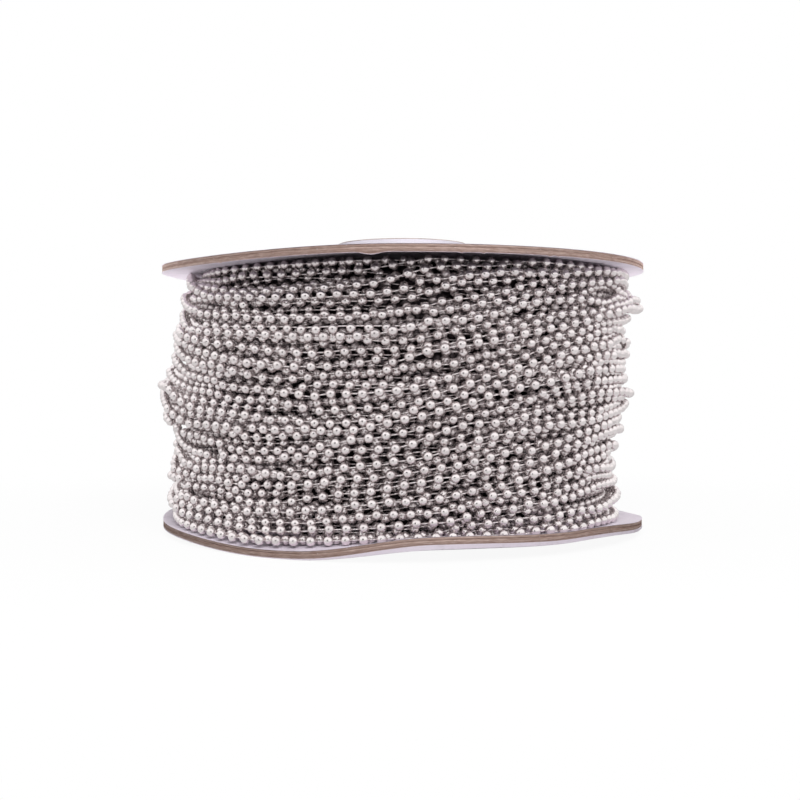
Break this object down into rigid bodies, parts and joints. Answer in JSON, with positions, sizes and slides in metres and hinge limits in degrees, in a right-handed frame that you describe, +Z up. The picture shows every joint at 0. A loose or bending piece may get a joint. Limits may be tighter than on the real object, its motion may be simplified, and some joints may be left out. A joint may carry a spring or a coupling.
{
  "type": "full reel of metal ball chain for roller blinds",
  "caption": "Cardboard reel standing on one flange, wound full with bright metal ball chain for roller blinds; round flanges faced with white paper, open core tube.",
  "frame": {"origin": "under the middle of the core, on the surface the reel stands on", "axes": "+Z up along the core; the pictured front faces -Y and its right side is +X"},
  "size_m": [0.2047, 0.2032, 0.1205],
  "materials": {
    "chain_metal": "bright nickel-plated steel beads and links",
    "core_paper": "wound paper tube, white outer ply, grey cut end",
    "grey_board": "die-cut grey board, layered fibrous edge",
    "white_paper": "smooth matt white facing"
  },
  "bodies": {
    "root": {"chain_winding": "chain_metal", "core_tube": "core_paper", "lower_flange_board": "grey_board", "lower_flange_inner_paper": "white_paper", "lower_flange_outer_paper": "white_paper", "upper_flange_board": "grey_board", "upper_flange_inner_paper": "white_paper", "upper_flange_outer_paper": "white_paper"}
  },
  "joints": []
}
